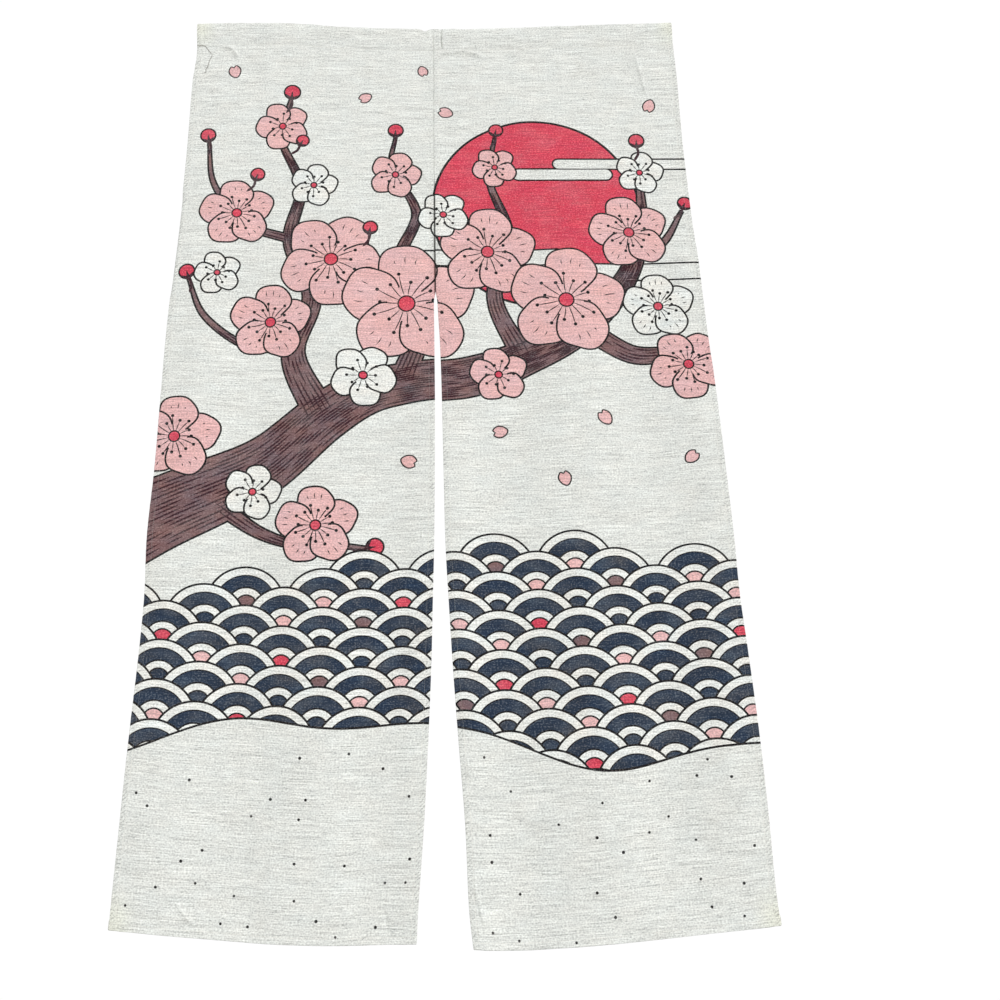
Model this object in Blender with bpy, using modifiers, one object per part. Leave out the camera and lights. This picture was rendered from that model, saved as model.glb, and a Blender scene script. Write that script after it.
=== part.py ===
"""A noren: two cloth panels sewn together at the top, under a rod sleeve, with a slit between them.

The curtain hangs in the XZ plane with its printed front facing -Y. The origin is the middle of its
top line, where a rod would carry it. Every size in the tables is in millimetres, and everything
that is built is in metres. A drop is how far a place on the cloth lies below the top line.
"""

import math
from collections import namedtuple

import bmesh
import bpy

MM = 0.001

# Driving dimensions, in millimetres.
DROP = 1500.0                # top line to bottom edge, as the cloth was sewn
SLEEVE_HEIGHT = 42.0         # top line to the row of stitches that closes the rod sleeve
CLOTH_THICKNESS = 1.2
HEM_THICKNESS = 2.4          # where the cloth is folded over and stitched
SIDE_HEM = 10.0
BOTTOM_HEM = 11.0
HEM_STEP = 2.0               # how far the hem's thickness takes to fade into the cloth
PIECE_GAP = 0.3              # between two pieces that are sewn together

# How finely the cloth is divided.
PANEL_COLUMNS = 14
PANEL_ROWS = 34

# The four long edges, measured from the centre line at each level below the top line.
Edge = namedtuple("Edge", "drop left_outer left_inner right_inner right_outer")
EDGES = tuple(Edge(*row) for row in (
    (0, -430.0, -4.8, -4.5, 420.5),
    (42, -427.0, -4.8, -4.5, 421.0),
    (70, -425.5, -4.2, -3.9, 422.5),
    (120, -428.5, -3.2, -2.9, 425.0),
    (240, -427.0, -1.3, -1.0, 428.5),
    (328, -427.0, 1.2, 1.5, 433.5),
    (336, -427.0, 1.3, 1.65, 433.9),
    (400, -427.5, 1.8, 4.4, 437.5),
    (465, -429.0, 2.6, 6.8, 443.0),
    (540, -431.0, 4.2, 10.0, 447.5),
    (610, -431.5, 6.2, 15.2, 452.0),
    (710, -430.5, 9.0, 20.2, 460.0),
    (830, -429.0, 11.2, 25.0, 467.0),
    (940, -430.5, 12.2, 29.5, 473.0),
    (1030, -425.5, 11.6, 36.0, 476.0),
    (1120, -425.5, 11.2, 43.0, 483.0),
    (1230, -428.0, 8.8, 53.0, 491.0),
    (1340, -429.5, 5.2, 63.5, 496.5),
    (1450, -430.5, -0.4, 70.0, 500.0),
    (1500, -431.0, -2.2, 76.5, 504.0),
))

# The top line sags between its two ends: its rise at each distance from the centre line.
TopLine = namedtuple("TopLine", "across rise")
TOP_LINE = tuple(TopLine(*row) for row in (
    (-430, 1.0),
    (-320, 3.0),
    (-235, 0.5),
    (-170, -5.5),
    (-100, -8.5),
    (-5, -10.0),
    (60, -9.8),
    (150, -7.0),
    (260, -2.0),
    (340, 0.5),
    (425, 4.0),
))
SAG_FADES_BY = 300.0         # the drop by which the sag has eased out of the weave
MIDDLE_SAG = 10.0            # the middle of the top line, at the origin, hangs this far down

# The rise of each panel's bottom edge, at each share of its width from its left edge.
BottomLine = namedtuple("BottomLine", "share left right")
BOTTOM_LINE = tuple(BottomLine(*row) for row in (
    (0.00, 15.0, -9.0),
    (0.08, 12.5, -10.5),
    (0.18, 8.5, -10.5),
    (0.30, 3.8, -7.0),
    (0.45, -1.0, -2.0),
    (0.62, -4.0, 4.0),
    (0.80, -4.6, 12.0),
    (0.92, -3.2, 17.5),
    (1.00, -2.0, 21.0),
))
BOTTOM_RISE_STARTS_AT = 320.0

# Soft folds. Each runs from a point at its top to a point at its bottom, stands forward by its
# height (or back, where that is negative), and is about twice its width across.
Fold = namedtuple("Fold", "top_across top_drop bottom_across bottom_drop width height")
FOLDS = tuple(Fold(*row) for row in (
    (-372, 260, -388, 1560, 46, 4.6),
    (-285, 420, -272, 1580, 52, -5.2),
    (-176, 330, -160, 1540, 58, 4.8),
    (-72, 520, -64, 1570, 42, -3.8),
    (-8, 700, -4, 1600, 26, 4.2),
    (-240, 60, -120, 330, 44, -2.2),
    (-395, 50, -330, 250, 36, 2.0),
    (24, 640, 88, 1590, 30, 4.4),
    (118, 420, 150, 1560, 48, -4.6),
    (226, 300, 262, 1580, 56, 5.4),
    (338, 520, 372, 1540, 50, -5.0),
    (420, 330, 480, 1570, 38, 3.6),
    (90, 70, 190, 300, 46, 2.2),
    (300, 80, 360, 330, 42, -2.0),
))
FOLD_END_FADE = 170.0        # the length over which a fold grows from nothing at its top
SLEEVE_HOLDS_FLAT = 45.0     # below the stitches, the folds start from flat cloth

# The rod sleeve's outer section, up its front and down its back: how far each point lies behind
# the cloth's own plane, at a share of the sleeve's height above the stitches.
Section = namedtuple("Section", "risen depth")
SLEEVE_SECTION = tuple(Section(*row) for row in (
    (0.00, 0.0),
    (0.03, -1.5),
    (0.08, -1.9),
    (0.16, -2.3),
    (0.30, -2.6),
    (0.48, -2.8),
    (0.66, -2.8),
    (0.80, -2.5),
    (0.90, -2.0),
    (0.965, -1.2),
    (1.00, 0.7),
    (0.965, 2.9),
    (0.90, 4.6),
    (0.80, 5.9),
    (0.66, 6.6),
    (0.48, 6.5),
    (0.30, 5.8),
    (0.16, 4.6),
    (0.08, 2.9),
    (0.03, 1.5),
))

# The parts' own colours.
CLOTH_COLOUR = (0.79, 0.78, 0.74)
HEADING_COLOUR = (0.76, 0.75, 0.71)
CLOTH_ROUGHNESS = 0.9
SHARP_ANGLE = 40.0           # degrees, past which an edge is shaded as a corner
WELD_DISTANCE = 0.00001      # metres, where the sleeve's section closes on itself


def slope_at(table, index, name):
    """How steeply a table's column runs through one of its rows."""
    below = table[max(index - 1, 0)]
    above = table[min(index + 1, len(table) - 1)]
    return (getattr(above, name) - getattr(below, name)) / (above[0] - below[0])


def look_up(table, key, name):
    """A column's value where the table's first column is key, on a smooth curve through its rows."""
    key = min(max(key, table[0][0]), table[-1][0])
    index = max(i for i in range(len(table) - 1) if table[i][0] <= key)
    below, above = table[index], table[index + 1]
    span = above[0] - below[0]
    part = (key - below[0]) / span
    start, end = getattr(below, name), getattr(above, name)
    leaving = slope_at(table, index, name) * span * part * (1.0 - part) ** 2
    arriving = slope_at(table, index + 1, name) * span * (1.0 - part) * part ** 2
    return start + (end - start) * ease(part) + leaving - arriving


def ease(value):
    """0 up to 0, 1 from 1, and a smooth step between."""
    value = min(max(value, 0.0), 1.0)
    return value * value * (3.0 - 2.0 * value)


def sag_rise(across, drop):
    """How far the cloth stands above its level where the top line's sag reaches it."""
    eased_out = ease((drop - SLEEVE_HEIGHT) / (SAG_FADES_BY - SLEEVE_HEIGHT))
    return look_up(TOP_LINE, across, "rise") * (1.0 - eased_out)


def fold_height(across, drop):
    """How far the cloth stands forward at a place on the curtain."""
    total = 0.0
    for fold in FOLDS:
        part = (drop - fold.top_drop) / (fold.bottom_drop - fold.top_drop)
        middle = fold.top_across + (fold.bottom_across - fold.top_across) * part
        away = (across - middle) / fold.width
        from_top = ease((drop - fold.top_drop) / FOLD_END_FADE)
        from_bottom = ease((fold.bottom_drop - drop) / FOLD_END_FADE)
        total += fold.height * from_top * from_bottom * math.exp(-away * away)
    return total * ease((drop - SLEEVE_HEIGHT) / SLEEVE_HOLDS_FLAT)


def panel_point(side, share, drop):
    """Where a point of a panel hangs, at a share of its width from its left edge, and at a drop."""
    edges = ("left_outer", "left_inner") if side == "left" else ("right_inner", "right_outer")
    first, last = (look_up(EDGES, drop, edge) for edge in edges)
    across = first + (last - first) * share
    lifted = max(drop - BOTTOM_RISE_STARTS_AT, 0.0) / (DROP - BOTTOM_RISE_STARTS_AT)
    lift = look_up(BOTTOM_LINE, share, side) * lifted
    depth = -0.5 * CLOTH_THICKNESS - fold_height(across, drop)
    height = MIDDLE_SAG + sag_rise(across, drop) + lift - drop
    return across * MM, depth * MM, height * MM


def sleeve_point(share, section):
    """Where a point of the sleeve's section lies, at a share of its length from its left end."""
    drop = SLEEVE_HEIGHT * (1.0 - section.risen)
    first = look_up(EDGES, drop, "left_outer")
    last = look_up(EDGES, drop, "right_outer")
    across = first + (last - first) * share
    height = MIDDLE_SAG + sag_rise(across, drop) - drop
    return across * MM, section.depth * MM, height * MM


def evenly(first, last, count):
    """Count even steps from first to last, both included."""
    return [first + (last - first) * i / count for i in range(count + 1)]


def panel_shares():
    """The shares of a panel's width where its columns stand, with a hem on both sides."""
    width = EDGES[0].left_inner - EDGES[0].left_outer
    hem = SIDE_HEM / width
    inner = (SIDE_HEM + HEM_STEP) / width
    return [0.0, hem] + evenly(inner, 1.0 - inner, PANEL_COLUMNS) + [1.0 - hem, 1.0]


def sleeve_shares():
    """The shares of the sleeve's length where its rings stand: at the panels' own columns, so that
    its foot follows their top edges."""
    shares = panel_shares()
    columns = [panel_point("left", share, SLEEVE_HEIGHT) for share in shares]
    columns += [panel_point("right", share, SLEEVE_HEIGHT) for share in shares[1:]]
    first, last = columns[0][0], columns[-1][0]
    return [(across - first) / (last - first) for across, depth, height in columns]


def panel_drops():
    """The drops where a panel's rows lie, from its bottom edge up to the sleeve."""
    inner = DROP - BOTTOM_HEM - HEM_STEP
    return [DROP, DROP - BOTTOM_HEM] + evenly(inner, SLEEVE_HEIGHT + PIECE_GAP, PANEL_ROWS)


def placed_grid(columns, rows, place):
    """A grid of columns and rows of points, each put where place says, and the points by column
    and row."""
    bm = bmesh.new()
    bmesh.ops.create_grid(bm, x_segments=columns - 1, y_segments=rows - 1, size=1.0)
    points = {}
    for vert in bm.verts:
        column = round((vert.co.x + 1.0) / 2.0 * (columns - 1))
        row = round((vert.co.y + 1.0) / 2.0 * (rows - 1))
        vert.co = place(column, row)
        points[column, row] = vert
    return bm, points


def cloth_material(name, colour):
    """A plain cloth material in a part's own colour."""
    material = bpy.data.materials.new(name)
    material.use_nodes = True
    shader = material.node_tree.nodes["Principled BSDF"]
    shader.inputs["Base Color"].default_value = (*colour, 1.0)
    shader.inputs["Roughness"].default_value = CLOTH_ROUGHNESS
    shader.inputs["Metallic"].default_value = 0.0
    return material


def add_piece(name, bm, collection, colour):
    """Turn a bmesh into a piece of the curtain, smoothly shaded but for its cut edges."""
    mesh = bpy.data.meshes.new(name)
    bm.to_mesh(mesh)
    bm.free()
    mesh.materials.append(cloth_material("cloth_of_" + name, colour))
    mesh.shade_smooth()
    mesh.set_sharp_from_angle(angle=math.radians(SHARP_ANGLE))
    piece = bpy.data.objects.new(name, mesh)
    collection.objects.link(piece)
    return piece


def add_thickness(piece, thickness):
    """Make a piece's surface solid, growing behind it by thickness in millimetres."""
    solid = piece.modifiers.new("cloth", "SOLIDIFY")
    solid.thickness = thickness * MM
    solid.offset = -1.0
    return solid


def build_panel(side, collection):
    """One panel, its front facing -Y, and twice as thick at its hems."""
    shares = panel_shares()
    drops = panel_drops()
    bm, points = placed_grid(
        len(shares), len(drops), lambda column, row: panel_point(side, shares[column], drops[row])
    )
    hem_columns = (0, 1, len(shares) - 2, len(shares) - 1)
    in_hem = [v.index for (column, row), v in points.items() if column in hem_columns or row < 2]
    bmesh.ops.recalc_face_normals(bm, faces=bm.faces)
    if sum(face.normal.y for face in bm.faces) > 0.0:
        bmesh.ops.reverse_faces(bm, faces=bm.faces)
    piece = add_piece("panel_" + side, bm, collection, CLOTH_COLOUR)
    hem = piece.vertex_groups.new(name="hem")
    hem.add(in_hem, 1.0, "REPLACE")
    solid = add_thickness(piece, HEM_THICKNESS)
    solid.vertex_group = hem.name
    solid.thickness_vertex_group = CLOTH_THICKNESS / HEM_THICKNESS


def build_heading(collection):
    """The rod sleeve: its section swept along the sagging top line, and open at both ends."""
    shares = sleeve_shares()
    section = SLEEVE_SECTION + SLEEVE_SECTION[:1]
    bm, points = placed_grid(
        len(shares), len(section), lambda column, row: sleeve_point(shares[column], section[row])
    )
    bmesh.ops.remove_doubles(bm, verts=bm.verts, dist=WELD_DISTANCE)
    bmesh.ops.recalc_face_normals(bm, faces=bm.faces)
    piece = add_piece("heading", bm, collection, HEADING_COLOUR)
    add_thickness(piece, CLOTH_THICKNESS).use_even_offset = True


def clear_scene():
    """Remove whatever the new file holds."""
    for thing in list(bpy.data.objects):
        bpy.data.objects.remove(thing, do_unlink=True)


def build_noren():
    """Build the heading and the two panels in one collection."""
    clear_scene()
    noren = bpy.data.collections.new("noren")
    bpy.context.scene.collection.children.link(noren)
    build_heading(noren)
    for side in ("left", "right"):
        build_panel(side, noren)


build_noren()
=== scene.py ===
import math
from functools import partial

import bpy
import numpy as np
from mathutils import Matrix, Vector
from mathutils.geometry import delaunay_2d_cdt


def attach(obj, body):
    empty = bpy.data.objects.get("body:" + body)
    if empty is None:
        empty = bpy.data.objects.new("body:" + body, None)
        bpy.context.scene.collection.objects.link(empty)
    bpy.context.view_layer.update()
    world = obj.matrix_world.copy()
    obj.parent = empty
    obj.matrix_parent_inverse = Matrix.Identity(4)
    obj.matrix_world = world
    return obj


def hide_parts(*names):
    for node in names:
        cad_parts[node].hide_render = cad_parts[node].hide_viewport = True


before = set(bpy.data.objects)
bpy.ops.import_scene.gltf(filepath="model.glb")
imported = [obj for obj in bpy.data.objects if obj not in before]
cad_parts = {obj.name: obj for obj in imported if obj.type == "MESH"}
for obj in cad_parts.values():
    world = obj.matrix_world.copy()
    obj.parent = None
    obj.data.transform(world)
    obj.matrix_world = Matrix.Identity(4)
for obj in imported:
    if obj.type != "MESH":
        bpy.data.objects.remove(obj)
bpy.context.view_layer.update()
mm = 0.001


# The curtain's own shape, in millimetres: the tables of the part's source.

def table(names, *rows):  # named columns, the first one being what the others are looked up by
    return dict(zip(names.split(), np.array(rows, float).T))


cloth = {
    "drop": 1500.0,           # top line to bottom edge
    "panelWidth": 425.0,      # each of the two panels, as sewn
    "sleeve": 42.0,           # top line to the foot of the rod sleeve
    "sleeveRow": 45.4,        # top line to the stitches that close it
    "slitTop": 334.0,         # where the seam between the panels ends
    "seamDitch": 1.2,         # how deep the seam's left side is drawn in
    "seamLap": 0.6,           # how far its right side stands out
    "slitParts": 514.0,       # down to here the hems of the slit's top lie one behind the other
    "slitLap": 3.0,           # how far the left one lies behind
    "slitSunk": 3.2,          # how far its edge turns away beside the right one
    "thickness": 0.75,
    "front": -0.6,            # where the printed face hangs, before its folds
    "edgeRadius": 0.95,       # the fold at a hem's edge
    "sideHem": 10.0,
    "bottomHem": 11.0,
    "hemFold": 1.5,           # what each hem takes besides, for its fold
    "sideRow": 8.6,           # from a side's edge to its row of stitches
    "footRow": 9.3,           # and from the bottom edge to its own
    "sidePinch": 0.36,        # how deep the stitches press the hems
    "footPinch": 0.46,
    "sidePucker": 0.20,       # how deep the hems pucker beside them
    "footPucker": 0.22,
    "hemStep": 0.45,          # how far the front stands out over the hems
    "cornerPeeks": 1.7,       # how far the bottom hem's back shows past the outer corners
    "stitchGroove": 0.5,      # how deep the sleeve's row of stitches pulls the front in
    "topMiddle": 10.0,        # the ends of the top line stand this much above its middle
    "sagFades": 300.0,        # the drop by which the top line's sag has eased out
    "bottomRiseStarts": 320.0,
    "foldFade": 170.0,        # how long a fold takes to grow from its ends
    "sleeveHoldsFlat": 45.0,  # below the sleeve's stitches
}

longEdges = table(
    "drop leftOuter leftInner rightInner rightOuter",
    (0, -430, -4.8, -4.5, 420.5),
    (42, -427, -4.8, -4.5, 421),
    (70, -425.5, -4.2, -3.9, 422.5),
    (120, -428.5, -3.2, -2.9, 425),
    (240, -427, -1.3, -1, 428.5),
    (328, -427, 1.2, 1.5, 433.5),
    (336, -427, 1.3, 1.65, 433.9),
    (400, -427.5, 1.8, 4.4, 437.5),
    (465, -429, 2.6, 6.8, 443),
    (540, -431, 4.2, 10, 447.5),
    (610, -431.5, 6.2, 15.2, 452),
    (710, -430.5, 9, 20.2, 460),
    (830, -429, 11.2, 25, 467),
    (940, -430.5, 12.2, 29.5, 473),
    (1030, -425.5, 11.6, 36, 476),
    (1120, -425.5, 11.2, 43, 483),
    (1230, -428, 8.8, 53, 491),
    (1340, -429.5, 5.2, 63.5, 496.5),
    (1450, -430.5, -0.4, 70, 500),
    (1500, -431, -2.2, 76.5, 504),
)

topLine = table(
    "across rise",
    (-430, 1), (-320, 3), (-235, 0.5), (-170, -5.5), (-100, -8.5), (-5, -10),
    (60, -9.8), (150, -7), (260, -2), (340, 0.5), (425, 4),
)

bottomLine = table(  # each panel's bottom edge, by the share of its width from its left edge
    "share left right",
    (0, 15, -9),
    (0.08, 12.5, -10.5),
    (0.18, 8.5, -10.5),
    (0.3, 3.8, -7),
    (0.45, -1, -2),
    (0.62, -4, 4),
    (0.8, -4.6, 12),
    (0.92, -3.2, 17.5),
    (1, -2, 21),
)

softFolds = table(
    "topAcross topDrop bottomAcross bottomDrop width height",
    (-372, 260, -388, 1560, 46, 4.6),
    (-285, 420, -272, 1580, 52, -5.2),
    (-176, 330, -160, 1540, 58, 4.8),
    (-72, 520, -64, 1570, 42, -3.8),
    (-8, 700, -4, 1600, 26, 4.2),
    (-240, 60, -120, 330, 44, -2.2),
    (-395, 50, -330, 250, 36, 2),
    (24, 640, 88, 1590, 30, 4.4),
    (118, 420, 150, 1560, 48, -4.6),
    (226, 300, 262, 1580, 56, 5.4),
    (338, 520, 372, 1540, 50, -5),
    (420, 330, 480, 1570, 38, 3.6),
    (90, 70, 190, 300, 46, 2.2),
    (300, 80, 360, 330, 42, -2),
)

creases = table(  # troughs are negative; bow is how far the middle of a crease lies below its ends
    "startAcross startDrop endAcross endDrop bow width height",
    (-402, 70, -350, 72, -20, 3.0, 2.5),
    (-397, 81, -355, 82, -17, 8.0, -1.8),
    (4, 56, 80, 59, -9, 3.0, 2.8),
    (8, 66, 76, 68, -8, 7.0, -1.9),
    (-29, 286, -5, 331, 3, 4.0, -1.3),
    (-20, 296, -2, 336, 0, 4.0, 1.0),
    (3, 285, 12, 336, -2, 3.6, -1.2),
    (-66, 383, -15, 374, -3, 4.5, 1.3),
    (-70, 391, -18, 383, -3, 6.0, -0.9),
    (-338, 1458, -310, 1484, 2, 2.6, 2.1),
    (-48, 1460, -40, 1491, 0, 3.0, -1.8),
    (78, 1419, 91, 1466, 0, 2.6, 2.3),
    (-300, 50, -296, 118, 0, 8.0, 0.9),
    (-214, 48, -208, 96, 0, 7.0, -0.9),
    (-118, 50, -112, 140, 0, 8.0, 0.9),
    (120, 50, 131, 128, 0, 8.0, -0.9),
    (212, 48, 216, 110, 0, 7.0, 0.9),
    (352, 66, 369, 148, 0, 2.7, 2.1),
    (-422, 610, -392, 560, 4, 7.0, -1.0),
    (430, 700, 462, 640, 4, 8.0, 1.1),
    (-300, 900, -180, 930, 10, 14.0, 0.9),
    (190, 1010, 330, 980, 12, 15.0, -1.0),
    (-410, 1300, -330, 1330, 8, 12.0, -0.9),
    (300, 1290, 420, 1330, -10, 14.0, 1.0),
)


def ease(value):  # 0 up to 0, 1 from 1, and a smooth step between
    value = np.clip(value, 0.0, 1.0)
    return value * value * (3.0 - 2.0 * value)


def bump(distance, width):
    return np.exp(-((distance / width) ** 2))


def lookUp(chart, key, name):  # a column's value on a smooth curve through the table's rows
    at, values = next(iter(chart.values())), chart[name]
    rows = np.arange(len(at))
    before, after = np.maximum(rows - 1, 0), np.minimum(rows + 1, rows[-1])
    slopes = (values[after] - values[before]) / (at[after] - at[before])
    key = np.clip(key, at[0], at[-1])
    row = np.clip(np.searchsorted(at, key, side="right") - 1, 0, rows[-1] - 1)
    span = at[row + 1] - at[row]
    part = (key - at[row]) / span
    leaving = slopes[row] * span * part * (1.0 - part) ** 2
    arriving = slopes[row + 1] * span * (1.0 - part) * part ** 2
    return values[row] + (values[row + 1] - values[row]) * ease(part) + leaving - arriving


def rowsOf(chart):
    return zip(*chart.values())


def sagRise(across, drop):
    eased = ease((drop - cloth["sleeve"]) / (cloth["sagFades"] - cloth["sleeve"]))
    return lookUp(topLine, across, "rise") * (1.0 - eased)


def foldHeight(across, drop):  # the big soft folds, which the part's solids have too
    total = 0.0 * across
    for topAcross, topDrop, bottomAcross, bottomDrop, width, height in rowsOf(softFolds):
        part = (drop - topDrop) / (bottomDrop - topDrop)
        middle = topAcross + (bottomAcross - topAcross) * part
        fromTop = ease((drop - topDrop) / cloth["foldFade"])
        fromBottom = ease((bottomDrop - drop) / cloth["foldFade"])
        total += height * fromTop * fromBottom * bump(across - middle, width)
    return total * ease((drop - cloth["sleeve"]) / cloth["sleeveHoldsFlat"])


def ridges(chart, across, drop, past):  # small creases, which fade a little past their ends
    total = 0.0 * across
    for startAcross, startDrop, endAcross, endDrop, bow, width, height in rowsOf(chart):
        runAcross, runDrop = endAcross - startAcross, endDrop - startDrop
        length = math.hypot(runAcross, runDrop)
        toAcross, toDrop = across - startAcross, drop - startDrop
        part = (toAcross * runAcross + toDrop * runDrop) / length ** 2
        aside = (toDrop * runAcross - toAcross * runDrop) / length
        middle = bow * 4.0 * np.clip(part, 0, 1) * (1.0 - np.clip(part, 0, 1))
        ends = ease((part + past) / 0.3) * ease((1.0 + past - part) / 0.3)
        total += height * ends * bump(aside - middle, width)
    return total


def creaseHeight(across, drop):  # the panels' small creases, and the cloth's slight unevenness
    total = ridges(creases, across, drop, 0.12)
    hangs = ease((drop - cloth["sleeve"]) / 30.0)
    waver = np.sin(across / 13.1 + 1.7 * np.sin(drop / 71.0))
    total += 0.22 * hangs * waver * np.sin(drop / 57.0 + across / 90.0)
    total += 0.30 * hangs * np.sin(across / 29.0 + drop / 210.0) * np.cos(drop / 83.0 - across / 47.0)
    stitched = bump(drop - cloth["sleeve"], 26.0)
    total += 0.28 * stitched * np.sin(across / 5.3 + 2.0 * np.sin(across / 37.0)) * hangs
    return total


def turn(inset, radius, behind):  # cloth folded over at an edge: how far in it lies, and how deep
    angle = np.clip((radius - inset) / radius, 0.0, math.pi)
    past = np.maximum(inset - radius, 0.0) + np.maximum((1.0 - math.pi) * radius - inset, 0.0)
    inner = radius - behind
    return radius - inner * np.sin(angle) + past, radius - inner * np.cos(angle)


def turnedInset(place, radius):  # where on the flat cloth a point of a side hem's turned layer lies
    return (2.0 - math.pi) * radius - place


def panelStart(side):  # where a panel's left edge lies on the flat cloth
    return -cloth["panelWidth"] if side == "left" else 0.0


def hemRelief(place, foot, back, across, drop):  # how the stitches press the hems, and how they pucker
    onFace = np.clip(1.0 - back / cloth["edgeRadius"], -1.0, 1.0)
    sideRow, footRow = bump(place - cloth["sideRow"], 0.9), bump(foot - cloth["footRow"], 0.9)
    pinch = onFace * (cloth["sidePinch"] * sideRow + cloth["footPinch"] * footRow)
    nearEdge = 1.0 - ease((place - 9.0) / 9.0)
    nearFoot = 1.0 - ease((foot - 10.0) / 9.0)
    pucker = cloth["sidePucker"] * nearEdge * np.sin(drop / 2.9 + 2.2 * np.sin(drop / 31.0))
    pucker += cloth["footPucker"] * nearFoot * np.sin(across / 3.1 + 2.4 * np.sin(across / 27.0))
    overSide, overFoot = 1.0 - ease((place - 10.2) / 1.6), 1.0 - ease((foot - 11.2) / 1.6)
    return pinch + pucker - cloth["hemStep"] * (overSide + overFoot) / 2.0


def seamRelief(side, place, seamSide, drop, sewn, closed):  # the lap of the seam and of the slit's top
    uneven = 0.8 + 0.2 * np.sin(drop / 9.7 + 1.3 * np.sin(drop / 23.0))
    behind = cloth["slitLap"] * ease((drop - cloth["slitTop"] + 22.0) / 50.0) * closed
    if side == "right":                      # the seam's right side lies over its left side
        over = cloth["seamLap"] * uneven * (1.0 - ease((seamSide - 9.0) / 3.0)) * sewn
        return -over - 0.45 * behind * (1.0 - ease((seamSide - 5.0) / 26.0))
    under = cloth["seamDitch"] * uneven * (1.0 - ease((seamSide - 0.5) / 6.0)) * sewn
    under += 0.55 * behind * (1.0 - ease((seamSide - 5.0) / 22.0))
    sunk = cloth["slitSunk"] * ease((drop - cloth["slitTop"] - 2.0) / 14.0) * closed
    return under + sunk * (1.0 - ease(place / 3.1))


def hangPanel(side, x, up):  # from the flat cloth to the hanging cloth's printed face
    first = panelStart(side)
    fromLeft, fromRight = x - first, first + cloth["panelWidth"] - x
    outside, seamSide = (fromLeft, fromRight) if side == "left" else (fromRight, fromLeft)
    outwards = -1.0 if side == "left" else 1.0
    radius = cloth["edgeRadius"]
    place, back = turn(np.minimum(fromLeft, fromRight), radius, 0.0)
    doubled = 1.0 - ease((place - cloth["sideHem"] - 0.5) / 4.0)
    radius = radius + doubled * (radius + 0.15)       # the bottom hem goes round the side hems
    foot, back = turn(up, radius, back)
    drop = cloth["drop"] - foot
    share = np.where(fromLeft < fromRight, place, cloth["panelWidth"] - place) / cloth["panelWidth"]
    low, high = panelSides(side, drop)
    across = low + (high - low) * share
    atCorner = ease((14.0 - outside) / 8.0) * ease((back - 2.0) / 1.2)
    across = across + outwards * cloth["cornerPeeks"] * atCorner
    sewn = 1.0 - ease((drop - cloth["slitTop"] + 6.0) / 8.0)
    closed = 1.0 - ease((drop - cloth["slitParts"]) / 26.0)
    parted = panelSides("right", drop)[0] - panelSides("left", drop)[1]
    inwards = 0.5 * parted * closed + 0.12 * closed + 0.08 * sewn    # the two edges meet and just lap
    across = across - outwards * inwards * (1.0 - ease(seamSide / 40.0))
    hung = (drop - cloth["bottomRiseStarts"]) / (cloth["drop"] - cloth["bottomRiseStarts"])
    lift = lookUp(bottomLine, share, side) * np.maximum(hung, 0.0)
    depth = cloth["front"] - foldHeight(across, drop) - creaseHeight(across, drop)
    depth += back + hemRelief(place, foot, back, across, drop) + sleeveGroove(drop)
    lapped = seamRelief(side, place, seamSide, drop, sewn, closed)
    depth += lapped * ease((drop - cloth["sleeve"]) / 4.0)
    height = cloth["topMiddle"] + sagRise(across, drop) + lift - drop
    return np.stack([across, depth, height], 1)


def panelSides(side, drop):  # where the panel's left and right edges hang
    names = ("leftOuter", "leftInner") if side == "left" else ("rightInner", "rightOuter")
    return [lookUp(longEdges, drop, name) for name in names]


def layPanel(side, across, drop):  # the other way: the flat place of a point of the hanging cloth
    low, high = panelSides(side, drop)
    first = panelStart(side)
    x = first + cloth["panelWidth"] * (across - low) / (high - low)
    return np.stack([x, cloth["drop"] - drop], 1)


def sleeveGroove(drop):  # the row of stitches pulls the front in
    return cloth["stitchGroove"] * bump(drop - cloth["sleeveRow"], 1.6)


# The stage and the camera come first.

studio = {
    "cameraPlace": (0.113, -1.170, -1.114),
    "cameraPitch": 12.1,          # degrees, looking up at the curtain
    "lens": 27.68,                # on a 36 mm wide sensor
    "floorHeight": -1.98,
    "floorRadius": 14.0,
    "floorColour": (0.55, 0.55, 0.54),
    "backdrop": 1.02,             # how bright the room's white and the floor show
    "ambient": 0.50,              # how much of it falls on the cloth
}

softLights = table(  # where each comes from, how wide it looks in degrees, and its strength
    "x y z width power",
    (0.58, -0.82, 0.58, 16, 1.66),
    (-0.90, -0.90, 0.10, 50, 0.30),
    (-0.45, 0.80, 0.60, 40, 1.70),
)


def addObject(name, data):
    made = bpy.data.objects.new(name, data)
    bpy.context.scene.collection.objects.link(made)
    return made


def meshFrom(maker, name):  # an object's mesh with its modifiers applied; the object itself goes
    mesh = bpy.data.meshes.new_from_object(maker.evaluated_get(bpy.context.evaluated_depsgraph_get()))
    bpy.data.objects.remove(maker)
    mesh.name = name
    return mesh


def makeCamera():
    data = bpy.data.cameras.new("photoCamera")
    data.lens, data.sensor_width = studio["lens"], 36.0
    data.clip_start, data.clip_end = 0.01, 60.0
    camera = addObject("photoCamera", data)
    camera.location = studio["cameraPlace"]
    camera.rotation_euler = (math.radians(90.0 + studio["cameraPitch"]), 0.0, 0.0)
    bpy.context.scene.camera = camera


def makeLights():
    for index, (x, y, z, width, power) in enumerate(rowsOf(softLights)):
        light = bpy.data.lights.new("softLight%d" % index, "SUN")
        light.angle, light.energy = math.radians(width), power
        lamp = addObject(light.name, light)
        lamp.rotation_euler = Vector((x, y, z)).to_track_quat("Z", "Y").to_euler()


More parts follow.
